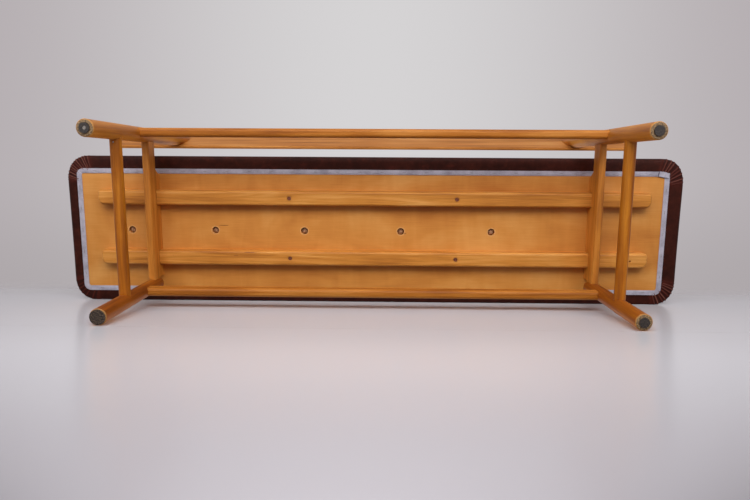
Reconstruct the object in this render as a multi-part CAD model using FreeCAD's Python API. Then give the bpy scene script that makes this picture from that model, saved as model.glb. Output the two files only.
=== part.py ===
import FreeCAD, Part
import math
import os
from FreeCAD import Vector

# An upholstered bench with a low reclined back rail, standing on its feet.
# +X is to the right seen from the front, +Y is to the back, +Z is up, and the floor is Z = 0.
# All sizes are in millimetres.

# Legs
leg_foot_diameter = 38.0
leg_top_diameter = 35.0
back_leg_top_diameter = 37.0
back_leg_lean = 1.2
leg_foot_chamfer = 2.5
leg_top_trim = 2.0
leg_top_rounding = 3.0
leg_seat_clearance = 28.0

# Round lower crossbars, and upper crossbars that carry the board and are notched for the battens
lower_crossbar_diameter = 27.0
lower_crossbar_height = 146.0
upper_crossbar_width = 18.0
upper_crossbar_depth = 42.0
upper_crossbar_rounding = 5.0
upper_crossbar_step = 18.0
upper_crossbar_tape_gap = 6.0
batten_notch_clearance = 0.3

# Long stretchers
stretcher_width = 22.0
stretcher_depth = 34.0
stretcher_rounding = 8.0
stretcher_height = 258.0
back_stretcher_setback = 4.0

# Round tenons of all the bars
tenon_diameter = 16.0
tenon_past_axis = 5.0
tenon_overlap = 8.0
tenon_clearance = 0.15
tenon_end_gap = 1.0

# Seat
seat_length = 1668.0
seat_depth = 402.0
seat_corner_radius = 60.0
seat_underside = 384.0
seat_front_overhang = 58.0
seat_end_overhang = 244.0
back_leg_setback = 60.0
board_thickness = 12.0
padding_height = 38.0
padding_edge = 16.0
crown_height = 9.0
leather_thickness = 1.6
lower_roll_radius = 14.0
upper_roll_radius = 24.0

# Raw edge of the leather under the board, measured in from the widest line of the seat
wrap_left = 44.0
wrap_right = 32.0
wrap_front = 34.0
wrap_back = 38.0
wrap_corner_radius = 14.0

# Tape over the raw edge, and its staples
tape_width = 13.0
tape_lap = 4.0
tape_thickness = 0.8
tape_edge_gap = 0.2
staple_pitch = 62.0
staple_width = 9.0
staple_wire = 0.8
staple_leg = 7.0
staple_clearance = 0.05

# Vent holes along the middle of the board, from left to right
vent_diameter = 19.0
vent_places = (-323.0, -76.0, 188.0, 433.0, 663.0)

# Battens under the board
batten_end_gap = 39.5
batten_width = 40.0
batten_thickness = 28.0
batten_spacing = 163.0
batten_shift = 9.0
batten_rounding = 7.0
batten_front_corner_radius = 16.0
batten_back_corner_radius = 9.0
pilot_hole_diameter = 5.5
pilot_hole_depth = 10.0
pilot_hole_inset = 47.5

# Recessed screws that hold the battens to the board
batten_screw_spacing = 449.0
screw_recess_diameter = 12.0
screw_recess_depth = 5.0
screw_head_diameter = 9.5
screw_head_height = 3.0
screw_shank_diameter = 4.5
screw_bite = 9.0
screw_slot_width = 1.2
screw_slot_depth = 1.0
screw_clearance = 0.1

# Dowels between the upper crossbars and the battens
dowel_diameter = 8.0
dowel_half_length = 15.0
dowel_clearance = 0.1
dowel_end_gap = 1.0

# Back rail on the slanted tops of the back legs
rail_end_inset = 59.0
rail_height = 108.0
rail_thickness = 9.0
rail_rounding = 3.0
rail_corner_radius = 28.0
rail_recline = 15.0
rail_bottom = 552.0
rail_stand_off = 1.0
rail_top_cover = 3.0
rail_screw_spacing = 44.0
rail_screw_bite = 5.5
rail_screw_recess = 5.0

# Feet
glide_diameter = 22.0
glide_proud = 3.0
glide_inset = 3.0
glide_clearance = 0.2
felt_diameter = 34.5
nail_head_diameter = 8.0
nail_head_height = 1.4
nail_head_level = 1.2
nail_shank_diameter = 3.0
nail_length = 20.0
nail_clearance = 0.05

# Small nail through the joint of one lower crossbar
joint_nail_diameter = 4.0
joint_nail_length = 14.0
joint_nail_setback = 5.0
joint_nail_recess = 1.0

# Places worked out from the sizes above
depth_overall = seat_depth + back_leg_setback + leg_foot_diameter / 2
seat_front = -depth_overall / 2
seat_middle = seat_front + seat_depth / 2
front_leg_y = seat_front + seat_front_overhang
back_leg_y = seat_front + seat_depth + back_leg_setback
leg_x = seat_length / 2 - seat_end_overhang
leg_spacing_x = 2 * leg_x
frame_middle = (front_leg_y + back_leg_y) / 2
tape_underside = seat_underside - leather_thickness - tape_thickness
front_leg_top = tape_underside - leg_seat_clearance
board_top = seat_underside + board_thickness
seat_top = board_top + padding_height + crown_height + leather_thickness
batten_bottom = seat_underside - batten_thickness
batten_inset = max(wrap_left, wrap_right) + tape_width - tape_lap + batten_end_gap
batten_length = seat_length - 2 * batten_inset
upper_crossbar_height = batten_bottom - upper_crossbar_depth / 2
batten_back_y = seat_middle + batten_shift + batten_spacing / 2
batten_front_y = seat_middle + batten_shift - batten_spacing / 2
tape_back_y = seat_front + seat_depth - wrap_back + tape_lap - tape_width
rail_length = seat_length - 2 * rail_end_inset
recline = math.radians(rail_recline)
rail_up = Vector(0, math.sin(recline), math.cos(recline))
rail_forward = Vector(0, -math.cos(recline), math.sin(recline))
back_leg_top = rail_bottom + rail_height * math.cos(recline) + rail_top_cover
lean_slope = math.tan(math.radians(back_leg_lean))
leg_front_at_rail = back_leg_y - rail_bottom * lean_slope - back_leg_top_diameter / 2
rail_back_bottom = Vector(0, leg_front_at_rail - rail_stand_off, rail_bottom)

along_x = Vector(1, 0, 0)
along_y = Vector(0, 1, 0)
upwards = Vector(0, 0, 1)
origin = Vector(0, 0, 0)

os.makedirs("parts", exist_ok=True)

# How far an edge may lie from a plane, and how far it may turn from a direction, to be picked
near = 0.01
pick_angle = math.radians(25)


def save(name, shape):
    shape.exportStep("parts/" + name + ".step")
    state = "valid" if shape.isValid() else "not valid"
    print(name, len(shape.Solids), "solids,", state, round(shape.Volume / 1000, 1), "cm3")


def rod(diameter, start, direction, length):
    return Part.makeCylinder(diameter / 2, length, start, direction)


def edges_along(shape, direction):
    # Straight edges of a box that run along the direction.
    return [edge for edge in shape.Edges
            if abs(edge.tangentAt(edge.FirstParameter).dot(direction)) > math.cos(pick_angle)]


def rounded_bar(width, depth, rounding, start, direction, length):
    # Bar with rounded long edges, centred on the line that leaves start along X or Y.
    if direction.x:
        bar = Part.makeBox(length, width, depth, start - Vector(0, width / 2, depth / 2))
    else:
        bar = Part.makeBox(width, length, depth, start - Vector(width / 2, 0, depth / 2))
    return bar.makeFillet(rounding, edges_along(bar, direction))


def rounded_plate(x_low, x_high, y_low, y_high, radius, z_low, z_high):
    # Upright prism on a rectangle with rounded corners.
    plate = Part.makeBox(x_high - x_low, y_high - y_low, z_high - z_low, Vector(x_low, y_low, z_low))
    return plate.makeFillet(radius, edges_along(plate, upwards))


def is_back(foot):
    return foot.y > frame_middle


def on_leg(foot, height):
    # Point on a leg's axis; the back legs lean a little towards the front.
    forward = height * lean_slope if is_back(foot) else 0
    return foot + Vector(0, -forward, height)


def leg_envelope(foot):
    # Turned, tapered leg without its bores, cut level just above the floor and at its top.
    top = back_leg_top if is_back(foot) else front_leg_top
    top_diameter = back_leg_top_diameter if is_back(foot) else leg_top_diameter
    lean = back_leg_lean if is_back(foot) else 0
    leg = Part.makeCone(leg_foot_diameter / 2, top_diameter / 2, top + leg_top_trim, foot)
    leg.rotate(foot, along_x, lean)
    level = Part.makeBox(4 * leg_foot_diameter, 4 * leg_foot_diameter, top - glide_proud,
                         foot + Vector(-2 * leg_foot_diameter, -2 * leg_foot_diameter, glide_proud))
    leg = leg.common(level)
    foot_edges = [edge for edge in leg.Edges if edge.BoundBox.ZMax < glide_proud + near]
    return leg.makeChamfer(leg_foot_chamfer, foot_edges)


def nail(x, y, clearance):
    # Nail driven up into a foot, or the space it needs when a clearance is given.
    head = rod(nail_head_diameter + 2 * clearance, Vector(x, y, nail_head_level - clearance), upwards,
               nail_head_height + 2 * clearance)
    shank = rod(nail_shank_diameter + 2 * clearance, Vector(x, y, nail_head_level), upwards,
                nail_length + clearance)
    return head.fuse(shank).removeSplitter()


def recessed_screw(place, direction, shank_length):
    # Slotted screw whose head starts at place and whose shank runs on along direction.
    head = rod(screw_head_diameter, place, direction, screw_head_height)
    slot = Part.makeBox(screw_head_diameter, screw_slot_width, 2 * screw_slot_depth)
    slot.translate(Vector(-screw_head_diameter / 2, -screw_slot_width / 2, -screw_slot_depth))
    slot.Placement = FreeCAD.Placement(place, FreeCAD.Rotation(upwards, direction)).multiply(slot.Placement)
    shank = rod(screw_shank_diameter, place + direction * screw_head_height, direction, shank_length)
    return head.cut(slot).fuse(shank).removeSplitter()


def screw_space(place, direction, shank_length, recess_depth):
    # Recess in front of the screw's head, the head's own room and the shank's bore.
    recess = rod(screw_recess_diameter, place - direction * recess_depth, direction,
                 recess_depth + screw_head_height)
    shank = rod(screw_shank_diameter + 2 * screw_clearance, place, direction,
                screw_head_height + shank_length + screw_clearance)
    return recess.fuse(shank)


def tenon_bore(middle, towards):
    # Blind bore in a leg for a bar that comes from the direction towards.
    start = middle - towards * (tenon_past_axis + tenon_end_gap)
    return rod(tenon_diameter + 2 * tenon_clearance, start, towards,
               tenon_past_axis + tenon_end_gap + leg_foot_diameter)


def tenoned(bar, feet, first, last):
    # Cope the bar's ends to the legs on these feet and add a round tenon at each end.
    direction = (last - first).normalize()
    reach = tenon_past_axis + leg_foot_diameter / 2 + tenon_overlap
    for foot in feet:
        bar = bar.cut(leg_envelope(foot))
    for point, inward in ((first, direction), (last, -direction)):
        bar = bar.fuse(rod(tenon_diameter, point - inward * tenon_past_axis, inward, reach))
    return bar.removeSplitter()


def foot_centres():
    return {
        "front_left": Vector(-leg_x, front_leg_y, 0),
        "front_right": Vector(leg_x, front_leg_y, 0),
        "back_left": Vector(-leg_x, back_leg_y, 0),
        "back_right": Vector(leg_x, back_leg_y, 0),
    }


def stretcher_end(foot):
    # Middle of a stretcher's end; the back one sits a little behind the axes of its legs.
    setback = back_stretcher_setback if is_back(foot) else 0
    return on_leg(foot, stretcher_height) + along_y * setback


def rail_screw_places(foot):
    # Where each screw's head sits in the back of a back leg's top, and how long its shank is.
    places = []
    for step in (-rail_screw_spacing / 2, rail_screw_spacing / 2):
        on_rail = Vector(foot.x, 0, 0) + rail_back_bottom + rail_up * (rail_height / 2 + step)
        leg_back = on_leg(foot, on_rail.z).y + back_leg_top_diameter / 2
        through_leg = (leg_back - on_rail.y) / math.cos(recline) - rail_screw_recess
        shank_length = through_leg - screw_head_height + rail_screw_bite
        places.append((on_rail - rail_forward * through_leg, shank_length))
    return places


# Feet: three small glides, a felt disc on the front right leg, and a worn glide at the back right
felt_leg = "front_right"
worn_leg = "back_right"
nails = []
for name, foot in foot_centres().items():
    nails.append(nail(foot.x, foot.y, 0))
    if name == felt_leg:
        glide = rod(felt_diameter, foot, upwards, glide_proud)
    else:
        glide = rod(glide_diameter, foot, upwards, glide_proud + glide_inset)
    glide = glide.cut(nail(foot.x, foot.y, nail_clearance))
    if name == worn_leg:
        glide = glide.cut(rod(nail_head_diameter + 2 * nail_clearance, foot, upwards, nail_head_level))
    save("foot_glide_" + name, glide)
save("glide_nails", Part.makeCompound(nails))

# Legs
for name, foot in foot_centres().items():
    leg = leg_envelope(foot)
    inward_y = -along_y if is_back(foot) else along_y
    inward_x = -along_x if foot.x > 0 else along_x
    leg = leg.cut(tenon_bore(on_leg(foot, lower_crossbar_height), inward_y))
    leg = leg.cut(tenon_bore(on_leg(foot, upper_crossbar_height), inward_y))
    leg = leg.cut(tenon_bore(stretcher_end(foot), inward_x))
    leg = leg.cut(nail(foot.x, foot.y, nail_clearance))
    if name != felt_leg:
        leg = leg.cut(rod(glide_diameter + 2 * glide_clearance, foot, upwards, glide_proud + glide_inset))
    if is_back(foot):
        top_edges = [edge for edge in leg.Edges if edge.BoundBox.ZMin > back_leg_top - near]
        leg = leg.makeFillet(leg_top_rounding, top_edges)
        # Slanted seat for the back rail, open to the front and to above
        seat_cut = Part.makeBox(2 * leg_foot_diameter, 2 * leg_foot_diameter, 2 * rail_height)
        seat_cut.translate(Vector(-leg_foot_diameter, -2 * leg_foot_diameter, 0))
        seat_cut.rotate(origin, along_x, -rail_recline)
        seat_cut.translate(Vector(foot.x, 0, 0) + rail_back_bottom)
        leg = leg.cut(seat_cut)
        for place, shank_length in rail_screw_places(foot):
            leg = leg.cut(screw_space(place, rail_forward, shank_length, 2 * rail_screw_recess))
    save(name.split("_")[0] + "_leg_" + name.split("_")[1], leg)


def upper_crossbar(x, back_y):
    # Bar from leg to leg that rises to the board, steps down before the tape and is notched for the battens.
    bottom = batten_bottom - upper_crossbar_depth
    step_top = tape_back_y - upper_crossbar_tape_gap
    corners = [
        (front_leg_y, bottom), (back_y, bottom), (back_y, batten_bottom),
        (step_top + upper_crossbar_step, batten_bottom), (step_top, seat_underside),
        (front_leg_y + leg_top_diameter / 2, seat_underside),
        (front_leg_y + leg_top_diameter / 2, front_leg_top), (front_leg_y, front_leg_top),
    ]
    points = [Vector(x - upper_crossbar_width / 2, y, z) for y, z in corners]
    bar = Part.Face(Part.makePolygon(points + points[:1])).extrude(along_x * upper_crossbar_width)
    lower_edges = [edge for edge in edges_along(bar, along_y) if edge.BoundBox.ZMax < bottom + near]
    bar = bar.makeFillet(upper_crossbar_rounding, lower_edges)
    notch_width = batten_width + 2 * batten_notch_clearance
    for y in (batten_front_y, batten_back_y):
        start = Vector(x - upper_crossbar_width / 2, y - notch_width / 2, batten_bottom)
        bar = bar.cut(Part.makeBox(upper_crossbar_width, notch_width, batten_thickness, start))
    return bar


# Crossbars at both ends, and the nail in the joint of the right-hand lower one
for side, x in (("left", -leg_x), ("right", leg_x)):
    feet = (foot_centres()["front_" + side], foot_centres()["back_" + side])
    low_front, low_back = [on_leg(foot, lower_crossbar_height) for foot in feet]
    lower = rod(lower_crossbar_diameter, low_front, along_y, (low_back - low_front).Length)
    lower = tenoned(lower, feet, low_front, low_back)
    if side == "right":
        nail_y = low_back.y - leg_foot_diameter / 2 - joint_nail_setback
        nail_start = Vector(x, nail_y, lower_crossbar_height - lower_crossbar_diameter / 2)
        bore_depth = joint_nail_recess + joint_nail_length + nail_clearance
        lower = lower.cut(rod(joint_nail_diameter + 2 * nail_clearance, nail_start, upwards, bore_depth))
        nail_head = nail_start + upwards * joint_nail_recess
        save("crossbar_nail", rod(joint_nail_diameter, nail_head, upwards, joint_nail_length))
    save("lower_crossbar_" + side, lower)

    high_front, high_back = [on_leg(foot, upper_crossbar_height) for foot in feet]
    upper = tenoned(upper_crossbar(x, high_back.y), feet, high_front, high_back)
    for y in (batten_front_y, batten_back_y):
        start = Vector(x, y, batten_bottom - dowel_half_length - dowel_end_gap)
        upper = upper.cut(rod(dowel_diameter + 2 * dowel_clearance, start, upwards, 2 * dowel_half_length))
    save("upper_crossbar_" + side, upper)

# Long stretchers
for row in ("front", "back"):
    feet = (foot_centres()[row + "_left"], foot_centres()[row + "_right"])
    left_end, right_end = [stretcher_end(foot) for foot in feet]
    bar = rounded_bar(stretcher_width, stretcher_depth, stretcher_rounding, left_end,
                      along_x, leg_spacing_x)
    save(row + "_stretcher", tenoned(bar, feet, left_end, right_end))


def batten(y):
    body = Part.makeBox(batten_length, batten_width, batten_thickness,
                        Vector(-batten_length / 2, y - batten_width / 2, batten_bottom))
    for radius, side in ((batten_front_corner_radius, -1), (batten_back_corner_radius, 1)):
        corner_edges = [edge for edge in edges_along(body, upwards) if (edge.CenterOfMass.y - y) * side > 0]
        body = body.makeFillet(radius, corner_edges)
    lower_edges = [edge for edge in body.Edges if edge.BoundBox.ZMax < batten_bottom + near]
    body = body.makeFillet(batten_rounding, lower_edges)
    for x in (-leg_x, leg_x):
        start = Vector(x, y, batten_bottom - dowel_end_gap)
        body = body.cut(rod(dowel_diameter + 2 * dowel_clearance, start, upwards,
                            dowel_half_length + 2 * dowel_end_gap))
    return body


# Battens with their dowels and screws
screws = []
dowels = []
screw_level = batten_bottom + screw_recess_depth - screw_head_height
screw_shank = seat_underside + screw_bite - screw_level - screw_head_height
screw_spaces = []
for name, y in (("batten_front", batten_front_y), ("batten_back", batten_back_y)):
    body = batten(y)
    for x in (-batten_screw_spacing / 2, batten_screw_spacing / 2):
        place = Vector(x, y, screw_level)
        screws.append(recessed_screw(place, upwards, screw_shank))
        screw_spaces.append(screw_space(place, upwards, screw_shank, screw_recess_depth))
        body = body.cut(screw_spaces[-1])
    if name == "batten_front":
        pilot = Vector(pilot_hole_inset - batten_length / 2, y, batten_bottom)
        body = body.cut(rod(pilot_hole_diameter, pilot, upwards, pilot_hole_depth))
    for x in (-leg_x, leg_x):
        dowels.append(rod(dowel_diameter, Vector(x, y, batten_bottom - dowel_half_length), upwards,
                          2 * dowel_half_length))
    save(name, body)
save("batten_screws", Part.makeCompound(screws))
save("batten_dowels", Part.makeCompound(dowels))


def seat_form(inset):
    # Crowned cushion shape, drawn in by inset on every side.
    half = seat_length / 2 - inset
    depth_half = seat_depth / 2 - inset
    z_low = seat_underside - leather_thickness + inset
    block = rounded_plate(-half, half, seat_middle - depth_half, seat_middle + depth_half,
                          seat_corner_radius - inset, z_low, seat_top)
    crown_radius = (seat_depth ** 2 / 4 + crown_height ** 2) / (2 * crown_height)
    axis = Vector(-half - seat_corner_radius, seat_middle, seat_top - crown_radius)
    crown = rod(2 * (crown_radius - inset), axis, along_x, 2 * (half + seat_corner_radius))
    form = block.common(crown)
    low_edges = [edge for edge in form.Edges if edge.BoundBox.ZMax < z_low + near]
    form = form.makeFillet(lower_roll_radius - inset, low_edges)
    top_level = seat_top - inset - 2 * crown_height
    top_edges = [edge for edge in form.Edges if edge.BoundBox.ZMin > top_level]
    return form.makeFillet(upper_roll_radius - inset, top_edges)


def wrap_opening(grow, z_low, z_high):
    # Prism on the outline of the leather's raw edge, grown outwards by grow.
    return rounded_plate(
        -seat_length / 2 + wrap_left - grow, seat_length / 2 - wrap_right + grow,
        seat_front + wrap_front - grow, seat_front + seat_depth - wrap_back + grow,
        wrap_corner_radius + grow, z_low, z_high)


def staple_places():
    # Middle of each staple and the direction of its crown, along the middle of the tape.
    inward = tape_width / 2 - tape_lap
    x_low = -seat_length / 2 + wrap_left + inward
    x_high = seat_length / 2 - wrap_right - inward
    y_low = seat_front + wrap_front + inward
    y_high = seat_front + seat_depth - wrap_back - inward
    places = []
    for low, high, fixed, runs_along in (
            (x_low, x_high, (y_low, y_high), along_x), (y_low, y_high, (x_low, x_high), along_y)):
        run = high - low - 2 * wrap_corner_radius
        count = int(run / staple_pitch) + 1
        for index in range(count):
            offset = low + wrap_corner_radius + run * (index + 0.5) / count
            for other in fixed:
                middle = Vector(offset, other, 0) if runs_along.x else Vector(other, offset, 0)
                places.append((middle, runs_along))
    return places


def staple(middle, runs_along, clearance):
    # Crown under the tape and two legs driven up into the board.
    wire = staple_wire + 2 * clearance
    crown = Part.makeBox(staple_width, staple_wire, staple_wire,
                         Vector(-staple_width / 2, -staple_wire / 2, -staple_wire))
    shape = crown
    for side in (-1, 1):
        leg_middle = side * (staple_width - staple_wire) / 2
        leg = Part.makeBox(wire, wire, staple_leg + clearance, Vector(leg_middle - wire / 2, -wire / 2, 0))
        shape = shape.fuse(leg)
    if runs_along.y:
        shape.rotate(origin, upwards, 90)
    shape.translate(middle + upwards * tape_underside)
    return shape.removeSplitter()


# Seat: board, padding, leather, tape and staples
outer_form = seat_form(0)
inner_form = seat_form(leather_thickness)
board_inset = leather_thickness + padding_edge
board_block = rounded_plate(
    -seat_length / 2 + board_inset, seat_length / 2 - board_inset,
    seat_front + board_inset, seat_front + seat_depth - board_inset,
    seat_corner_radius - board_inset, seat_underside, board_top)
opening = wrap_opening(0, seat_underside - 2 * leather_thickness, seat_underside)
leather = outer_form.cut(inner_form).cut(opening)
padding = inner_form.cut(board_block)
save("leather_cover", leather)
save("seat_padding", padding)

raw_edge_level = seat_underside - leather_thickness
tape = wrap_opening(tape_lap, tape_underside, raw_edge_level)
tape = tape.fuse(wrap_opening(-tape_edge_gap, tape_underside, seat_underside))
tape = tape.cut(wrap_opening(tape_lap - tape_width, tape_underside, seat_underside)).removeSplitter()
staples = [staple(middle, runs_along, 0) for middle, runs_along in staple_places()]
staple_holes = Part.makeCompound([staple(middle, runs_along, staple_clearance)
                                  for middle, runs_along in staple_places()])
board = board_block.cut(Part.makeCompound(screw_spaces)).cut(staple_holes)
for x in vent_places:
    vent = rod(vent_diameter, Vector(x, seat_middle, seat_underside), upwards, board_thickness)
    board = board.cut(vent)
save("seat_board", board)
save("edge_tape", tape.cut(staple_holes))
save("tape_staples", Part.makeCompound(staples))

# Back rail, lying on the slanted tops of the back legs
rail = rounded_bar(rail_thickness, rail_height, rail_rounding, Vector(-rail_length / 2, 0, 0),
                   along_x, rail_length)
outline = Part.makeBox(rail_length, 2 * rail_thickness, rail_height,
                       Vector(-rail_length / 2, -rail_thickness, -rail_height / 2))
outline = outline.makeFillet(rail_corner_radius, edges_along(outline, along_y))
rail = rail.common(outline)
rail.rotate(origin, along_x, -rail_recline)
rail.translate(rail_back_bottom + rail_up * (rail_height / 2) + rail_forward * (rail_thickness / 2))
rail_screws = []
for name, foot in foot_centres().items():
    for place, shank_length in (rail_screw_places(foot) if is_back(foot) else ()):
        rail_screws.append(recessed_screw(place, rail_forward, shank_length))
        rail = rail.cut(screw_space(place, rail_forward, shank_length, 0))
save("back_rail", rail)
save("rail_screws", Part.makeCompound(rail_screws))
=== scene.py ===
import bpy
import math
import random
from mathutils import Matrix, Vector, noise


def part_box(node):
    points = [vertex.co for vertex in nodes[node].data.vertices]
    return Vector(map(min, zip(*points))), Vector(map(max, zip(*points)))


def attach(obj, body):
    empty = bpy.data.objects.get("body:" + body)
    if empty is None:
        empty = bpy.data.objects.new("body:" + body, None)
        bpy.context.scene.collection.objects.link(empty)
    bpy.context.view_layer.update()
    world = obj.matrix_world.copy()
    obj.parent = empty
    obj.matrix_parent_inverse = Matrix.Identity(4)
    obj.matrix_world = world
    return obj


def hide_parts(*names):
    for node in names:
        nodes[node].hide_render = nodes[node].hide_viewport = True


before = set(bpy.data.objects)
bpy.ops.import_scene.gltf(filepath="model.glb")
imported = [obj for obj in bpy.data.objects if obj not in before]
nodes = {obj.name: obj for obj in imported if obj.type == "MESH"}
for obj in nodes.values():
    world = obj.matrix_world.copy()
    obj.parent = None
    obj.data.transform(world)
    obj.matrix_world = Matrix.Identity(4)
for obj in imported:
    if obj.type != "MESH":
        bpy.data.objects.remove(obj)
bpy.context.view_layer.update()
print("frame loaded:", len(nodes), "nodes")

mm = 0.001


# a colour written as the 0 to 255 values of a paint chart
def paint(red, green, blue):
    channels = []
    for value in (red, green, blue):
        share = value / 255
        channels.append(share / 12.92 if share <= 0.04045 else ((share + 0.055) / 1.055) ** 2.4)
    return (*channels, 1.0)


def clamped(share):
    return max(0.0, min(1.0, share))


# one shader socket, so that node maths reads as plain expressions
class Wire:
    def __init__(self, tree, socket=None):
        self.tree = tree
        self.socket = socket

    def node(self, kind, settings=None, inputs=None, output=0):
        made = self.tree.nodes.new(kind)
        for name, value in (settings or {}).items():
            if name == "stops":
                ramp = made.color_ramp.elements
                while len(ramp) < len(value):
                    ramp.new(0.5)
                for stop, (position, colour) in zip(ramp, value):
                    stop.position = position
                    stop.color = colour
            else:
                setattr(made, name, value)
        for name, value in (inputs or {}).items():
            if isinstance(value, Wire):
                self.tree.links.new(value.socket, made.inputs[name])
            else:
                made.inputs[name].default_value = value
        return Wire(self.tree, made.outputs[output] if made.outputs else None)

    def maths(self, operation, first, second=0.0, third=0.0):
        return self.node("ShaderNodeMath", {"operation": operation}, {0: first, 1: second, 2: third})

    def __add__(self, other):
        return self.maths("ADD", self, other)

    def __radd__(self, other):
        return self.maths("ADD", other, self)

    def __sub__(self, other):
        return self.maths("SUBTRACT", self, other)

    def __rsub__(self, other):
        return self.maths("SUBTRACT", other, self)

    def __mul__(self, other):
        return self.maths("MULTIPLY", self, other)

    def __rmul__(self, other):
        return self.maths("MULTIPLY", other, self)

    def __truediv__(self, other):
        return self.maths("DIVIDE", self, other)

    # 0 below start and 1 above end, with a soft step between
    def step(self, start, end):
        return self.node("ShaderNodeMapRange", {"interpolation_type": "SMOOTHSTEP"},
                         {"Value": self, "From Min": start, "From Max": end})

    # the first colour where this is 0 and the second where it is 1
    def mix(self, first, second):
        return self.node("ShaderNodeMix", {"data_type": "RGBA"}, {0: self, 6: first, 7: second}, output=2)


def newFinish(name):
    material = bpy.data.materials.new(name)
    material.use_nodes = True
    material.node_tree.nodes.clear()
    return material, Wire(material.node_tree)


def objectPlace(wire):
    return wire.node("ShaderNodeTexCoord", output="Object")


def grainNoise(wire, place, scale, detail=3.0, roughness=0.55, distortion=0.0):
    return wire.node("ShaderNodeTexNoise", None, {
        "Vector": place, "Scale": scale, "Detail": detail, "Roughness": roughness, "Distortion": distortion})


def bumped(wire, height, distance):
    return wire.node("ShaderNodeBump", None, {"Height": height, "Distance": distance, "Strength": 1.0})


def surface(wire, inputs):
    shader = wire.node("ShaderNodeBsdfPrincipled", None, inputs)
    wire.node("ShaderNodeOutputMaterial", None, {"Surface": shader})


def dress(names, material):
    for name in names:
        slots = nodes[name].data.materials
        slots.clear()
        slots.append(material)


# camera: lens and place worked out from the legs, feet and seat edges in the photograph
cameraView = {
    "lens": 29.08, "sensor": 36.0,
    "place": (-0.0326, 0.1751, -1.2628),
    "right": (-0.9998, 0.0056, 0.0171),
    "up": (0.0082, 0.9872, 0.1595),
}
right = Vector(cameraView["right"]).normalized()
back = right.cross(Vector(cameraView["up"])).normalized()
up = back.cross(right)
bpy.ops.object.select_all(action="DESELECT")
bpy.ops.object.camera_add()
camera = bpy.context.object
camera.data.sensor_width = cameraView["sensor"]
camera.data.lens = cameraView["lens"]
camera.data.clip_start = 0.01
turn = Matrix((right, up, back)).transposed()
camera.matrix_world = Matrix.Translation(cameraView["place"]) @ turn.to_4x4()
bpy.context.scene.camera = camera
bpy.context.scene.view_settings.view_transform = "Standard"
print("camera set")

# stage: the pale floor that the bench lies on, and a second one that it stands on in the other views
stageLook = {
    "paleFloor": paint(230, 223, 226), "lyingFloor": paint(222, 221, 227), "lyingNear": paint(188, 184, 190),
    "backdropMiddle": paint(213, 211, 212), "backdropSides": paint(181, 174, 177),
    "backdropLow": paint(168, 162, 164), "fill": paint(104, 100, 103),
    "sidesAt": 0.72, "lowFrom": -0.07, "lowTo": 0.14, "lowShare": 0.6,    # slopes away from the view's middle
    "viewFrom": 0.60, "viewTo": 0.78,      # how far ahead a direction points where that view ends
    "floorRough": 0.22, "floorSheen": 0.4,
    "lyingSize": 6.0, "standingSize": 14.0, "gap": 0.5 * mm,
    # painted light falloff: the lying floor is painted darker sideways and towards the front
    "sideDim": 0.18, "eye": 0.99,          # how much the lying floor dims sideways, seen from this far
    "nearFrom": -0.75, "nearTo": -0.15,    # heights between which it darkens towards the front
    "fadeFrom": 0.42, "fadeTo": 0.80,      # height at which the lying floor melts into the backdrop
    "standFadeFrom": 1.4, "standFadeTo": 2.6,
}


def paleFinish(name, isLying):
    material, wire = newFinish(name)
    place = objectPlace(wire)
    colour = stageLook["paleFloor"]
    if isLying:
        height = wire.node("ShaderNodeSeparateXYZ", None, {"Vector": place}, output="Z")
        sideways = wire.node("ShaderNodeSeparateXYZ", None, {"Vector": place}, output="X")
        seeThrough = height.step(stageLook["fadeFrom"], stageLook["fadeTo"])
        # it shows only from below the standing floor, so it is no wall in the other views
        passed = wire.node("ShaderNodeLightPath", output="Transparent Depth")
        through = wire.maths("GREATER_THAN", passed, 0.5)
        otherSide = wire.maths("ABSOLUTE", height.step(0.0, 1 * mm) - through)
        seeThrough = wire.maths("MAXIMUM", seeThrough, otherSide)
        # painted light falloff: darker towards the front with lyingNear, dimmer sideways with sideDim
        nearer = 1 - height.step(stageLook["nearFrom"], stageLook["nearTo"])
        colour = nearer.mix(stageLook["lyingFloor"], stageLook["lyingNear"])
        aside = sideways / (height + stageLook["eye"])
        colour = (aside * aside * stageLook["sideDim"]).mix(colour, paint(0, 0, 0))
    else:
        far = wire.node("ShaderNodeVectorMath", {"operation": "LENGTH"}, {0: place}, output="Value")
        seeThrough = far.step(stageLook["standFadeFrom"], stageLook["standFadeTo"])
    fromBehind = wire.node("ShaderNodeNewGeometry", output="Backfacing")
    hidden = wire.maths("MAXIMUM", seeThrough, fromBehind)
    gloss = wire.node("ShaderNodeBsdfPrincipled", None, {
        "Base Color": colour, "Roughness": stageLook["floorRough"],
        "Specular IOR Level": stageLook["floorSheen"]})
    clear = wire.node("ShaderNodeBsdfTransparent")
    both = wire.node("ShaderNodeMixShader", None, {0: hidden, 1: gloss, 2: clear})
    wire.node("ShaderNodeOutputMaterial", None, {"Surface": both})
    return material


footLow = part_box("front_leg_left")[0]
seatLow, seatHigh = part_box("leather_cover")
floorFoot = Vector((0, footLow.y - stageLook["gap"], footLow.z))
floorSeat = Vector((0, seatLow.y - stageLook["gap"], (seatLow.z + seatHigh.z) / 2))
lean = math.atan2(floorFoot.y - floorSeat.y, floorSeat.z - floorFoot.z)

bpy.ops.object.select_all(action="DESELECT")
bpy.ops.mesh.primitive_plane_add(size=stageLook["lyingSize"], location=floorFoot,
                                 rotation=(lean - math.pi / 2, 0, 0))
lyingFloor = bpy.context.object
lyingFloor.name = "lyingFloor"
bpy.ops.object.transform_apply(location=True, rotation=True, scale=True)
lyingFloor.data.materials.append(paleFinish("paleFloor", True))
bpy.ops.object.select_all(action="DESELECT")
bpy.ops.mesh.primitive_plane_add(size=stageLook["standingSize"])
standingFloor = bpy.context.object
standingFloor.name = "standingFloor"
standingFloor.data.materials.append(paleFinish("standingPaleFloor", False))
for floor in (lyingFloor, standingFloor):
    floor.visible_shadow = False
    floor.visible_diffuse = False
    floor.visible_glossy = False


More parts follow.
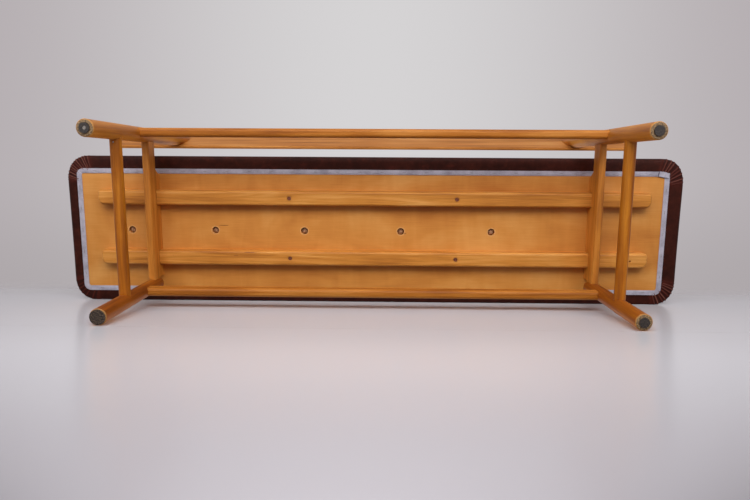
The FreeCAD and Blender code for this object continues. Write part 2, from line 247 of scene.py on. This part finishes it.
# pale backdrop, brighter in the middle of the photograph's view, over a dimmer soft fill
def hangBackdrop():
    sky = bpy.data.worlds.new("paleStudio")
    bpy.context.scene.world = sky
    sky.use_nodes = True
    sky.node_tree.nodes.clear()
    wire = Wire(sky.node_tree)
    direction = wire.node("ShaderNodeTexCoord", output="Generated")

    def along(axis):
        return wire.node("ShaderNodeVectorMath", {"operation": "DOT_PRODUCT"},
                         {0: direction, 1: axis}, output="Value")

    ahead = along(-back)
    aside = wire.maths("ABSOLUTE", along(right) / ahead)
    lower = 1 - (along(up) / ahead).step(stageLook["lowFrom"], stageLook["lowTo"])
    outwards = aside.step(0.0, stageLook["sidesAt"])
    colour = outwards.mix(stageLook["backdropMiddle"], stageLook["backdropSides"])
    colour = (lower * stageLook["lowShare"]).mix(colour, stageLook["backdropLow"])
    inView = ahead.step(stageLook["viewFrom"], stageLook["viewTo"])
    colour = inView.mix(stageLook["backdropSides"], colour)
    shown = wire.node("ShaderNodeBackground", None, {"Color": colour})
    fill = wire.node("ShaderNodeBackground", None, {"Color": stageLook["fill"]})
    seen = wire.node("ShaderNodeLightPath", output="Is Camera Ray")
    mirrored = wire.node("ShaderNodeLightPath", output="Is Glossy Ray")
    direct = wire.maths("MAXIMUM", seen, mirrored)
    both = wire.node("ShaderNodeMixShader", None, {0: direct, 1: fill, 2: shown})
    wire.node("ShaderNodeOutputWorld", None, {"Surface": both})


hangBackdrop()

# a bank and two side boxes for the lying bench, and two lights without gloss for the bench on its feet
softLights = {
    "bankSoftbox": {"place": (0.0, 1.9, -1.5), "aim": (0.0, -0.05, 0.38), "size": (3.4, 1.4), "power": 80.0},
    "leftSoftbox": {"place": (2.1, 1.1, -1.5), "aim": (0.5, 0.0, 0.3), "size": (1.4, 1.4), "power": 11.0},
    "rightSoftbox": {"place": (-2.1, 1.1, -1.5), "aim": (-0.5, 0.0, 0.3), "size": (1.4, 1.4), "power": 11.0},
    "frontSoftbox": {"place": (0.4, -2.2, 1.2), "aim": (0.0, 0.0, 0.3), "size": (3.0, 2.0), "power": 30.0,
                     "isGlossy": False},
    "seatSoftbox": {"place": (-0.5, -0.7, 2.7), "aim": (0.0, -0.1, 0.4), "size": (2.4, 0.8), "power": 48.0,
                    "isGlossy": False},
}


def hangLight(name, light):
    bpy.ops.object.select_all(action="DESELECT")
    bpy.ops.object.light_add(type="AREA", location=light["place"])
    lamp = bpy.context.object
    lamp.name = name
    lamp.data.shape = "RECTANGLE"
    lamp.data.size, lamp.data.size_y = light["size"]
    lamp.data.energy = light["power"]
    lamp.visible_camera = False
    aim = Vector(light["aim"]) - Vector(light["place"])
    lamp.rotation_euler = aim.to_track_quat("-Z", "Y").to_euler()
    lamp.visible_glossy = light.get("isGlossy", True)


for name, light in softLights.items():
    hangLight(name, light)
print("stage set")

# woods; the front legs and lower crossbars are the same wood as the back legs and upper crossbars, with
# darker tones as painted shade
woodLook = {
    "backLeg": {"dark": paint(134, 70, 8), "middle": paint(182, 108, 18), "light": paint(206, 134, 44),
                "sheen": 0.6},
    # front legs: darker tones as painted shade
    "frontLeg": {"dark": paint(108, 48, 2), "middle": paint(150, 78, 5), "light": paint(178, 104, 16),
                 "sheen": 0.4},
    # lower crossbars: darker tones as painted shade
    "crossbar": {"dark": paint(120, 58, 2), "middle": paint(166, 92, 8), "light": paint(192, 118, 24),
                 "sheen": 0.3},
    "batten": {"dark": paint(166, 98, 28), "middle": paint(204, 132, 50), "light": paint(222, 156, 78),
               "sheen": 0.35},
    "upperBar": {"dark": paint(146, 82, 16), "middle": paint(194, 118, 34), "light": paint(214, 142, 58),
                 "sheen": 0.4},
    "stretcher": {"dark": paint(136, 72, 14), "middle": paint(176, 104, 30), "light": paint(198, 128, 54),
                  "sheen": 0.25},
    "rail": {"dark": paint(146, 86, 36), "middle": paint(190, 120, 54), "light": paint(210, 146, 80),
             "sheen": 0.12},
    "board": {"dark": paint(184, 112, 42), "middle": paint(204, 134, 58), "light": paint(218, 154, 80),
              "sheen": 0.35},
    "scuff": paint(112, 50, 10), "dirtyEnd": paint(92, 70, 46), "greyEnd": paint(162, 132, 94),
    "bareEdge": paint(188, 140, 80), "cutEdge": paint(222, 170, 112),
    "bareFrom": 5.0 * mm, "bareTo": 7.0 * mm, "dirtyFrom": 3.2 * mm, "dirtyTo": 4.4 * mm,
    "wearWander": 3 * mm,
    "bandsPerMetre": 60.0, "fibresPerMetre": 620.0, "poresPerMetre": 1700.0,
}
grainAxes = {"x": (1, 0, 0), "y": (0, 1, 0), "z": (0, 0, 1)}


def alongGrain(wire, place, along, share):     # squeezes a pattern's length along the grain
    scale = tuple(share if on else 1.0 for on in grainAxes[along])
    return wire.node("ShaderNodeMapping", None, {"Vector": place, "Scale": scale})


# bare rim and dirty end of a foot
def footWear(wire, place, colour, rough):
    height = wire.node("ShaderNodeSeparateXYZ", None, {"Vector": place}, output="Z")
    scuff = grainNoise(wire, place, 240.0, 3.0)
    level = height + (scuff - 0.5) * woodLook["wearWander"]
    bare = 1 - level.step(woodLook["bareFrom"], woodLook["bareTo"])
    dirty = 1 - level.step(woodLook["dirtyFrom"], woodLook["dirtyTo"])
    grime = grainNoise(wire, place, 330.0, 4.0, 0.6).step(0.38, 0.64)
    colour = (bare * 0.6).mix(colour, woodLook["bareEdge"])
    colour = dirty.mix(colour, grime.mix(woodLook["dirtyEnd"], woodLook["greyEnd"]))
    return colour, rough + bare * 0.3


# short dark marks, each given by its middle and half sizes, with ragged outlines
def scuffed(wire, place, colour, marks, level):
    smudge = grainNoise(wire, place, 300.0, 3.0)
    for middle, half in marks.values():
        near = wire.node("ShaderNodeMapping", {"vector_type": "TEXTURE"}, {
            "Vector": place, "Location": (*middle, level), "Scale": (*half, 1.0)})
        far = wire.node("ShaderNodeVectorMath", {"operation": "LENGTH"}, {0: near}, output="Value")
        scuff = 1 - (far + smudge * 0.9 - 0.45).step(0.55, 1.1)
        colour = (scuff * 0.85).mix(colour, woodLook["scuff"])
    return colour


def woodFinish(name, along, isLeg=False, figure=0.5, marks=None):
    tones = woodLook[name]
    material, wire = newFinish(name + "Wood")
    place = objectPlace(wire)
    cloud = grainNoise(wire, place, 6.0, 2.0)
    rings = alongGrain(wire, place, along, 0.05)
    bands = grainNoise(wire, rings, woodLook["bandsPerMetre"], 3.0, 0.5, figure)
    fibres = grainNoise(wire, alongGrain(wire, place, along, 0.03), woodLook["fibresPerMetre"], 2.0)
    pores = grainNoise(wire, alongGrain(wire, place, along, 0.06), woodLook["poresPerMetre"], 1.0)
    tone = bands * 0.55 + fibres * 0.2 + cloud * 0.25
    colour = wire.node("ShaderNodeValToRGB", {"stops": [
        (0.36, tones["dark"]), (0.50, tones["middle"]), (0.62, tones["light"])]}, {"Fac": tone})
    poreMask = pores.step(0.62, 0.72)
    colour = (poreMask * 0.3).mix(colour, tones["dark"])
    rough = 0.46 + fibres * 0.12
    if isLeg:
        colour, rough = footWear(wire, place, colour, rough)
    if marks:
        colour = scuffed(wire, place, colour, marks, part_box("batten_front")[0].z)
    relief = bumped(wire, fibres * 0.6 + poreMask * -0.4, 0.08 * mm)
    surface(wire, {"Base Color": colour, "Roughness": rough, "Normal": relief,
                   "Specular IOR Level": tones["sheen"]})
    return material


# veneer of the board: softly clouded, with pale cut rims round the vents and a few short scuffs
boardLook = {
    "marks": {      # middle and half sizes of each scuff, in metres
        "besideVent": ((0.409, -0.026), (16 * mm, 1.1 * mm)),
        "middle": ((-0.087, -0.045), (5 * mm, 1.6 * mm)),
    },
    "battenMarks": {
        "upperEdge": ((0.335, -0.096), (19 * mm, 1.0 * mm)),
        "shortOne": ((0.372, -0.105), (8 * mm, 0.8 * mm)),
    },
    "vents": (-0.323, -0.076, 0.188, 0.433, 0.663), "ventSize": 19 * mm, "rim": 3.4 * mm,
}


def boardFinish():
    tones = woodLook["board"]
    look = boardLook
    boardLow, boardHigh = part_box("seat_board")
    material, wire = newFinish("boardVeneer")
    place = objectPlace(wire)
    cloud = grainNoise(wire, alongGrain(wire, place, "x", 0.45), 10.0, 4.0, 0.5, 0.5)
    silk = grainNoise(wire, alongGrain(wire, place, "y", 0.2), 26.0, 2.0, 0.5, 0.8)
    fibres = grainNoise(wire, alongGrain(wire, place, "x", 0.04), 380.0, 3.0)
    flecks = grainNoise(wire, alongGrain(wire, place, "x", 0.12), 700.0, 2.0)
    tone = cloud * 0.66 + silk * 0.18 + fibres * 0.16
    colour = wire.node("ShaderNodeValToRGB", {"stops": [
        (0.34, tones["dark"]), (0.50, tones["middle"]), (0.66, tones["light"])]}, {"Fac": tone})
    colour = (flecks.step(0.66, 0.78) * 0.3).mix(colour, tones["dark"])
    colour = scuffed(wire, place, colour, look["marks"], boardLow.z)
    for x in look["vents"]:
        near = wire.node("ShaderNodeVectorMath", {"operation": "DISTANCE"}, {
            0: place, 1: (x, (boardLow.y + boardHigh.y) / 2, boardLow.z)}, output="Value")
        rim = 1 - near.step(look["ventSize"] / 2 + look["rim"] * 0.6, look["ventSize"] / 2 + look["rim"])
        colour = (rim * 0.45).mix(colour, woodLook["cutEdge"])
    surface(wire, {"Base Color": colour, "Roughness": 0.42 + fibres * 0.14,
                   "Normal": bumped(wire, fibres, 0.06 * mm), "Specular IOR Level": tones["sheen"]})
    return material


dress(["back_leg_left", "back_leg_right"], woodFinish("backLeg", "z", isLeg=True))
dress(["front_leg_left", "front_leg_right"], woodFinish("frontLeg", "z", isLeg=True))
dress(["lower_crossbar_left", "lower_crossbar_right"], woodFinish("crossbar", "y"))
dress(["upper_crossbar_left", "upper_crossbar_right"], woodFinish("upperBar", "y"))
dress(["front_stretcher", "back_stretcher"], woodFinish("stretcher", "x"))
dress(["back_rail"], woodFinish("rail", "x"))
battenFinish = woodFinish("batten", "x", figure=1.2, marks=boardLook["battenMarks"])
dress(["batten_front", "batten_back", "batten_dowels"], battenFinish)
dress(["seat_board"], boardFinish())
print("woods dressed")

# metal, rubber and felt
steelLook = {
    "dull": (paint(110, 102, 96), paint(168, 162, 158)),
    "worn": (paint(96, 90, 84), paint(188, 182, 174)),
    "browned": (paint(104, 52, 34), paint(158, 96, 70)),
}


def steelFinish(name, tones, metal):
    dark, bright = tones
    material, wire = newFinish(name)
    place = objectPlace(wire)
    spots = grainNoise(wire, place, 700.0, 3.0)
    colour = spots.step(0.35, 0.65).mix(dark, bright)
    surface(wire, {"Base Color": colour, "Metallic": metal, "Roughness": 0.3 + spots * 0.25})
    return material


def padFinish(name, dark, pale, grain, rough):
    material, wire = newFinish(name)
    place = objectPlace(wire)
    fleck = grainNoise(wire, place, grain, 4.0, 0.7)
    colour = fleck.step(0.4, 0.72).mix(dark, pale)
    surface(wire, {"Base Color": colour, "Roughness": rough, "Normal": bumped(wire, fleck, 0.4 * mm)})
    return material


rubber = padFinish("glideRubber", paint(20, 16, 15), paint(76, 64, 56), 380.0, 0.6)
felt = padFinish("footFelt", paint(14, 9, 7), paint(112, 92, 76), 330.0, 0.95)
dress(["rail_screws", "crossbar_nail", "tape_staples"], steelFinish("dullSteel", steelLook["dull"], 1.0))
dress(["glide_nails"], steelFinish("wornSteel", steelLook["worn"], 1.0))
dress(["batten_screws"], steelFinish("brownedSteel", steelLook["browned"], 0.4))
dress(["foot_glide_front_left", "foot_glide_back_left", "foot_glide_back_right"], rubber)
dress(["foot_glide_front_right"], felt)
print("small pieces dressed")


# mesh helpers: first shapes, picking by place, modifiers and joining
def startBlock(name, low, high):
    bpy.ops.object.select_all(action="DESELECT")
    bpy.ops.mesh.primitive_cube_add(size=1.0, location=(low + high) / 2)
    block = bpy.context.object
    block.name = name
    block.scale = high - low
    bpy.ops.object.transform_apply(location=True, rotation=True, scale=True)
    return block


def startSheet(place, size, turn=0.0):
    bpy.ops.object.select_all(action="DESELECT")
    bpy.ops.mesh.primitive_plane_add(size=1.0, location=place, rotation=(0, 0, turn))
    sheet = bpy.context.object
    sheet.scale = (*size, 1)
    bpy.ops.object.transform_apply(location=True, rotation=True, scale=True)
    return sheet


def startPicking(kind):
    bpy.ops.object.mode_set(mode="EDIT")
    bpy.ops.mesh.select_mode(type=kind)
    bpy.ops.mesh.select_all(action="DESELECT")
    bpy.ops.object.mode_set(mode="OBJECT")


def pickEdges(piece, wanted):
    startPicking("EDGE")
    points = piece.data.vertices
    for edge in piece.data.edges:
        edge.select = wanted(points[edge.vertices[0]].co, points[edge.vertices[1]].co)
    bpy.ops.object.mode_set(mode="EDIT")


def pickFaces(piece, wanted):
    startPicking("FACE")
    for face in piece.data.polygons:
        face.select = wanted(face.center, face.normal)
    bpy.ops.object.mode_set(mode="EDIT")


def roundEdges(piece, wanted, radius, segments):
    pickEdges(piece, wanted)
    bpy.ops.mesh.bevel(offset=radius, segments=segments, affect="EDGES")
    bpy.ops.object.mode_set(mode="OBJECT")


def finishWith(piece, kind, **settings):
    bpy.ops.object.select_all(action="DESELECT")
    piece.select_set(True)
    bpy.context.view_layer.objects.active = piece
    bpy.ops.object.modifier_add(type=kind)
    modifier = piece.modifiers[-1]
    for name, value in settings.items():
        setattr(modifier, name, value)
    bpy.ops.object.modifier_apply(modifier=modifier.name)


def joinInto(piece, others):
    bpy.ops.object.select_all(action="DESELECT")
    for joined in (*others, piece):
        joined.select_set(True)
    bpy.context.view_layer.objects.active = piece
    bpy.ops.object.join()


def isUpright(first, second):
    return abs(first.z - second.z) > 1 * mm and (first.xy - second.xy).length < 0.01 * mm


def liesAt(level):
    return lambda first, second: abs(first.z - level) < 0.01 * mm and abs(second.z - level) < 0.01 * mm


# leather cushion over the padding, with a pocket for the board
cushionLook = {
    "smaller": 3.0 * mm, "cornerRadius": 60 * mm, "lowerRoll": 14 * mm, "upperRoll": 24 * mm, "crown": 9 * mm,
    "cornerSteps": 8, "lowerSteps": 5, "upperSteps": 6, "voxel": 6 * mm, "smoothRounds": 6,
    "pressure": 4.0, "frames": 20, "held": 5 * mm, "reach": 5 * mm,
    "boardGap": 0.2 * mm, "openingDrop": 9 * mm, "openingBite": 1 * mm,
    "wrapLeft": 44 * mm, "wrapRight": 32 * mm, "wrapFront": 34 * mm, "wrapBack": 38 * mm,
    "wrapCorner": 14 * mm,
    "pleats": {      # count, half width and strength at the corner with these signs of x and y
        (-1, -1): (12, 1.5 * mm, 1.0), (-1, 1): (11, 1.6 * mm, 0.9),
        (1, -1): (9, 1.3 * mm, 0.6), (1, 1): (16, 1.3 * mm, 1.0),
    },
    "pleatHeight": 1.8 * mm, "pleatReach": 20 * mm, "pleatHub": 78 * mm, "pleatFade": 0.34, "seed": 7,
    "pleatInner": 30 * mm, "pleatSkin": 16 * mm, "pleatUnderside": 0.8 * mm, "pleatUpright": 6 * mm,
    "pleatStart": 34 * mm, "pleatRun": 12 * mm, "pleatCuts": 5,
    "dark": paint(42, 13, 6), "middle": paint(62, 24, 15), "worn": paint(96, 40, 31),
    # the crest colour is a painted highlight on the pleats' crests, the valley colour painted shade in their
    # valleys
    "gathered": paint(78, 28, 20), "crestHighlight": paint(140, 94, 80), "valleyShade": paint(16, 7, 5),
    "cloth": paint(186, 140, 104), "clothDark": paint(120, 82, 54),
    "plugDepth": 8 * mm, "plugGap": 0.4 * mm, "plugGrain": 260, "plugBump": 0.8 * mm,
}


def cushionBlock():
    look = cushionLook
    low = seatLow + Vector((look["smaller"], look["smaller"], 0))
    high = seatHigh - Vector((look["smaller"], look["smaller"], look["smaller"] + look["crown"]))
    cushion = startBlock("leatherCushion", low, high)
    roundEdges(cushion, isUpright, look["cornerRadius"] - look["smaller"], look["cornerSteps"])
    roundEdges(cushion, liesAt(low.z), look["lowerRoll"], look["lowerSteps"])
    roundEdges(cushion, liesAt(high.z), look["upperRoll"], look["upperSteps"])
    finishWith(cushion, "REMESH", mode="VOXEL", voxel_size=look["voxel"], use_smooth_shade=True)
    middle = (low + high) / 2
    for point in cushion.data.vertices:
        across = (point.co.y - middle.y) / (high.y - middle.y)
        raised = clamped((point.co.z - middle.z) / (high.z - middle.z))
        point.co.z += look["crown"] * (1 - across ** 2) * raised
    return cushion


# lets the padding press the leather out, held where it is fixed under the board
def swell(cushion):
    look = cushionLook
    before = [point.co.copy() for point in cushion.data.vertices]
    fixed = [point.index for point in cushion.data.vertices if point.co.z < seatLow.z + look["held"]]
    cushion.vertex_groups.new(name="fixed").add(fixed, 1.0, "REPLACE")
    bpy.context.view_layer.objects.active = cushion
    bpy.ops.object.modifier_add(type="CLOTH")
    cloth = cushion.modifiers[-1]
    cloth.settings.use_pressure = True
    cloth.settings.uniform_pressure_force = look["pressure"]
    cloth.settings.effector_weights.gravity = 0.0
    cloth.settings.vertex_group_mass = "fixed"
    cloth.point_cache.frame_start = 1
    cloth.point_cache.frame_end = look["frames"]
    for moment in range(1, look["frames"] + 1):
        bpy.context.scene.frame_set(moment)
    bpy.ops.object.modifier_apply(modifier=cloth.name)
    bpy.context.scene.frame_set(1)
    cushion.vertex_groups.clear()
    for point, start in zip(cushion.data.vertices, before):
        move = point.co - start
        if move.length > look["reach"]:
            point.co = start + move * (look["reach"] / move.length)


# cuts the room for the board, and the opening inside the leather's raw edge
def cutPocket(cushion):
    look = cushionLook
    boardLow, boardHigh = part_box("seat_board")
    gap = Vector((1, 1, 0)) * look["boardGap"]
    pocket = startBlock("pocketCutter", boardLow - gap, boardHigh + gap)
    boardCorner = look["cornerRadius"] - (boardLow.x - seatLow.x)
    roundEdges(pocket, isUpright, boardCorner, look["cornerSteps"])
    openLow = seatLow + Vector((look["wrapLeft"], look["wrapFront"], -look["openingDrop"]))
    openHigh = seatHigh - Vector((look["wrapRight"], look["wrapBack"], 0))
    openHigh.z = boardLow.z + look["openingBite"]
    opening = startBlock("openingCutter", openLow, openHigh)
    roundEdges(opening, isUpright, look["wrapCorner"], look["cornerSteps"])
    for cutter in (pocket, opening):
        finishWith(cushion, "BOOLEAN", operation="DIFFERENCE", object=cutter, solver="EXACT")
        bpy.data.objects.remove(cutter)
    return boardHigh.z


# stretches the cushion to the seat's full box, which the smoothing draws in
def fitSeat(cushion):
    points = cushion.data.vertices
    for axis in range(3):
        low = min(point.co[axis] for point in points)
        high = max(point.co[axis] for point in points)
        grow = (seatHigh[axis] - seatLow[axis]) / (high - low)
        for point in points:
            point.co[axis] = seatLow[axis] + (point.co[axis] - low) * grow


# gathers the leather's outer skin in small pleats at the lower corners
def pleatCorners(cushion):
    look = cushionLook
    inset = look["pleatHub"]
    arc = Vector((1, 1)) * (inset - look["cornerRadius"])
    dice = random.Random(look["seed"])
    hubs = {}
    for (sideX, sideY), (count, width, strength) in look["pleats"].items():
        hub = Vector(((seatHigh.x - inset) * sideX, seatHigh.y - inset if sideY > 0 else seatLow.y + inset))
        share = math.pi / 2 / count
        folds = [((turn + dice.uniform(0.25, 0.75)) * share, dice.uniform(0.55, 1.0) * strength)
                 for turn in range(count)]
        hubs[sideX, sideY] = (hub, folds, width)

    def corner(place):
        for (sideX, sideY), (hub, folds, width) in hubs.items():
            out = Vector(((place.x - hub.x) * sideX, (place.y - hub.y) * sideY))
            if min(out) < 0 or out.length < look["pleatInner"] or place.z > seatLow.z + look["pleatReach"]:
                continue
            beyond = out - arc
            toEdge = look["cornerRadius"] - beyond.length if min(beyond) > 0 else inset - max(out)
            if toEdge < look["pleatSkin"] or place.z < seatLow.z + look["pleatUnderside"]:
                return out, folds, width
        return None, None, None

    pickFaces(cushion, lambda centre, normal: corner(centre)[0] is not None)
    bpy.ops.mesh.subdivide(number_cuts=look["pleatCuts"])
    bpy.ops.object.mode_set(mode="OBJECT")
    mesh = cushion.data
    # crest and valley masks, used for the leather's redder gathered tone and for painted highlight and
    # painted shade
    for name in ("pleatCrest", "pleatValley"):
        mesh.attributes.new(name, "FLOAT", "POINT")
    crestHighlight, valleyShade = mesh.attributes["pleatCrest"], mesh.attributes["pleatValley"]
    normals = [normal.vector.copy() for normal in mesh.vertex_normals]
    for point in mesh.vertices:
        out, folds, width = corner(point.co)
        if out is None:
            continue
        angle = math.atan2(out.y, out.x)
        fold = max(height * math.exp(-((angle - turn) * out.length / width) ** 2) for turn, height in folds)
        climb = point.co.z - seatLow.z - look["pleatUpright"]
        rise = 1 - clamped(climb / (look["pleatReach"] - look["pleatUpright"]))
        raw = clamped((out.length - look["pleatStart"]) / look["pleatRun"])
        ends = min(1.0, min(angle, math.pi / 2 - angle) / look["pleatFade"])
        gathered = rise * raw * ends * ends * (3 - 2 * ends)
        point.co += normals[point.index] * (look["pleatHeight"] * fold * gathered)
        crestHighlight.data[point.index].value = fold * gathered
        valleyShade.data[point.index].value = (1 - fold) * gathered


def leatherFinish():
    look = cushionLook
    material, wire = newFinish("brownLeather")
    place = objectPlace(wire)
    cloud = grainNoise(wire, place, 7.0, 3.0)
    mottle = grainNoise(wire, place, 55.0, 3.0, 0.6)
    pebble = wire.node("ShaderNodeTexVoronoi", {"feature": "F1"}, {"Vector": place, "Scale": 620.0})
    creases = grainNoise(wire, place, 190.0, 4.0, 0.65, 0.6)
    crestHighlight = wire.node("ShaderNodeAttribute", {"attribute_name": "pleatCrest"}, output="Fac")
    valleyShade = wire.node("ShaderNodeAttribute", {"attribute_name": "pleatValley"}, output="Fac")
    tone = cloud * 0.5 + mottle * 0.5
    colour = tone.step(0.34, 0.66).mix(look["dark"], look["middle"])
    colour = (mottle.step(0.55, 0.8) * 0.18).mix(colour, look["worn"])
    colour = ((crestHighlight + valleyShade) * 0.75).mix(colour, look["gathered"])
    # painted shade in the pleats' valleys and painted highlight on their crests
    colour = (valleyShade.step(0.75, 1.0) * 0.6).mix(colour, look["valleyShade"])
    colour = (crestHighlight.step(0.35, 0.95) * 0.7).mix(colour, look["crestHighlight"])
    relief = bumped(wire, pebble * 0.6 + creases * 0.7, 0.35 * mm)
    surface(wire, {"Base Color": colour, "Roughness": 0.42 + creases * 0.18, "Normal": relief,
                   "Specular IOR Level": 0.1})
    return material


def padClothFinish():
    material, wire = newFinish("padCloth")
    place = objectPlace(wire)
    fluff = grainNoise(wire, place, 500.0, 4.0, 0.7)
    colour = fluff.step(0.3, 0.7).mix(cushionLook["clothDark"], cushionLook["cloth"])
    surface(wire, {"Base Color": colour, "Roughness": 0.95, "Normal": bumped(wire, fluff, 0.5 * mm)})
    return material


# the padding's cloth bulges into each vent of the board
def plugVents(cushion, pocketTop):
    look = cushionLook
    size = boardLook["ventSize"] - 2 * look["plugGap"]
    vents = []
    for x in boardLook["vents"]:
        bpy.ops.object.select_all(action="DESELECT")
        bpy.ops.mesh.primitive_uv_sphere_add(segments=24, ring_count=12, radius=size / 2,
                                             location=(x, (seatLow.y + seatHigh.y) / 2, pocketTop))
        vent = bpy.context.object
        vent.scale.z = 2 * look["plugDepth"] / size
        bpy.ops.object.transform_apply(location=True, rotation=True, scale=True)
        for point in vent.data.vertices:
            point.co.z += noise.noise(point.co * look["plugGrain"]) * look["plugBump"]
        vents.append(vent)
    joinInto(cushion, vents)


cushion = cushionBlock()
swell(cushion)
finishWith(cushion, "SMOOTH", factor=0.5, iterations=cushionLook["smoothRounds"])
fitSeat(cushion)
pocketTop = cutPocket(cushion)
pleatCorners(cushion)
leatherFaces = len(cushion.data.polygons)
plugVents(cushion, pocketTop)
cushion.data.materials.clear()
cushion.data.materials.append(leatherFinish())
cushion.data.materials.append(padClothFinish())
for face in cushion.data.polygons:
    face.use_smooth = True
    isCeiling = abs(face.center.z - pocketTop) < 0.5 * mm and face.normal.z < -0.9
    if isCeiling or face.index >= leatherFaces:
        face.material_index = 1
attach(cushion, "root")
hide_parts("leather_cover", "seat_padding")
print("cushion made:", len(cushion.data.polygons), "faces")

# woven tape over the raw edge of the leather
tapeLook = {
    "width": 13 * mm, "thick": 0.8 * mm, "corner": 18 * mm, "cornerSteps": 6,
    "longSide": 1.0, "longCuts": 110, "shortSide": 0.2, "shortCuts": 24,
    "lap": 4 * mm, "flat": 8.5 * mm, "drop": 0.45, "wave": 0.3 * mm, "waveLength": 0.05,
    "crumple": 0.9 * mm, "crumpleLength": 0.009, "crumpleReach": 42 * mm,
    "flap": {"place": (-0.7770, 0.1190), "size": (29 * mm, 14.5 * mm), "turn": 0.2, "cuts": 11,
             "curl": 1.6 * mm, "shadeFrom": 0.8},
    # shade is a painted shadow along the flap's free end and lower edge
    "pale": paint(198, 193, 206), "grey": paint(160, 154, 168), "shade": paint(52, 46, 54),
    "threadsPerMetre": 900.0,
}


# small folds near the corners and long soft waves between them, always away from the board
def ripple(place, middle, half):
    look = tapeLook
    toCorner = Vector((half.x - abs(place.x - middle.x), half.y - abs(place.y - middle.y))).length
    gather = max(0.0, 1 - toCorner / look["crumpleReach"])
    soft = abs(noise.noise(Vector((place.x, place.y, 0)) / look["waveLength"])) * look["wave"]
    sharp = abs(noise.noise(Vector((place.x, place.y, 3)) / look["crumpleLength"])) * look["crumple"]
    return soft + sharp * gather


def tapeRibbon():
    look = tapeLook
    low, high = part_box("edge_tape")
    middle = (low + high) / 2
    half = (high - low) / 2
    tape = startSheet((middle.x, middle.y, low.z), (high - low).xy)
    tape.name = "wovenTape"
    bpy.ops.object.mode_set(mode="EDIT")
    bpy.ops.mesh.select_all(action="SELECT")
    bpy.ops.mesh.bevel(offset=look["corner"], segments=look["cornerSteps"], affect="VERTICES")
    bpy.ops.mesh.select_all(action="SELECT")
    for band in (look["lap"], look["flat"] - look["lap"], look["width"] - look["flat"]):
        bpy.ops.mesh.inset(thickness=band)
    bpy.ops.mesh.delete(type="FACE")
    for longest, cuts in ((look["longSide"], look["longCuts"]), (look["shortSide"], look["shortCuts"])):
        pickEdges(tape, lambda first, second: (first - second).length > longest)
        bpy.ops.mesh.subdivide(number_cuts=cuts)
    bpy.ops.object.mode_set(mode="OBJECT")
    for point in tape.data.vertices:
        inset = min(half.x - abs(point.co.x - middle.x), half.y - abs(point.co.y - middle.y))
        slope = max(0.0, (inset - look["flat"]) / (look["width"] - look["flat"]))
        point.co.z += slope * look["drop"] * (high.z - low.z) - ripple(point.co, middle, half)
    finishWith(tape, "SOLIDIFY", thickness=look["thick"], offset=1.0)
    return tape


# loose end of the tape, lapped over the run at one back corner
def tapeFlap():
    look = tapeLook
    flap = look["flap"]
    low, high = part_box("edge_tape")
    piece = startSheet((*flap["place"], low.z - look["thick"]), flap["size"], flap["turn"])
    bpy.ops.object.mode_set(mode="EDIT")
    bpy.ops.mesh.select_all(action="SELECT")
    bpy.ops.mesh.subdivide(number_cuts=flap["cuts"])
    bpy.ops.object.mode_set(mode="OBJECT")
    # tapeShade marks the flap's free end and lower edge for painted shadow
    shade = piece.data.attributes.new("tapeShade", "FLOAT", "POINT")
    for point in piece.data.vertices:
        offset = point.co.xy - Vector(flap["place"])
        offset.rotate(Matrix.Rotation(-flap["turn"], 2))
        share = Vector((2 * offset.x / flap["size"][0], 2 * offset.y / flap["size"][1]))
        outer = max(share.x, -share.y) - flap["shadeFrom"]
        shade.data[point.index].value = max(0.0, outer) / (1 - flap["shadeFrom"])
        point.co.z -= ripple(point.co, (low + high) / 2, (high - low) / 2) + share.x ** 2 * flap["curl"]
    finishWith(piece, "SOLIDIFY", thickness=look["thick"], offset=1.0)
    return piece


def tapeFinish():
    look = tapeLook
    material, wire = newFinish("wovenTape")
    place = objectPlace(wire)
    threads = look["threadsPerMetre"] * math.tau
    ways = wire.node("ShaderNodeVectorRotate", {"rotation_type": "Z_AXIS"},
                     {"Vector": place, "Angle": math.pi / 4})
    warp = wire.node("ShaderNodeSeparateXYZ", None, {"Vector": ways}, output="X")
    weft = wire.node("ShaderNodeSeparateXYZ", None, {"Vector": ways}, output="Y")
    weave = wire.maths("SINE", warp * threads) * wire.maths("SINE", weft * threads)
    stain = grainNoise(wire, place, 26.0, 4.0, 0.6)
    fuzz = grainNoise(wire, place, 800.0, 2.0)
    tone = stain * 0.7 + fuzz * 0.3 + weave * 0.06
    colour = tone.step(0.34, 0.62).mix(look["grey"], look["pale"])
    # painted shadow along the flap's free end and lower edge
    shade = wire.node("ShaderNodeAttribute", {"attribute_name": "tapeShade"}, output="Fac")
    colour = (shade * 0.85).mix(colour, look["shade"])
    surface(wire, {"Base Color": colour, "Roughness": 0.9, "Specular IOR Level": 0.2,
                   "Normal": bumped(wire, weave + fuzz, 0.15 * mm)})
    return material


tape = tapeRibbon()
joinInto(tape, [tapeFlap()])
tape.data.materials.append(tapeFinish())
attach(tape, "root")
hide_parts("edge_tape")
print("tape made:", len(tape.data.polygons), "faces")
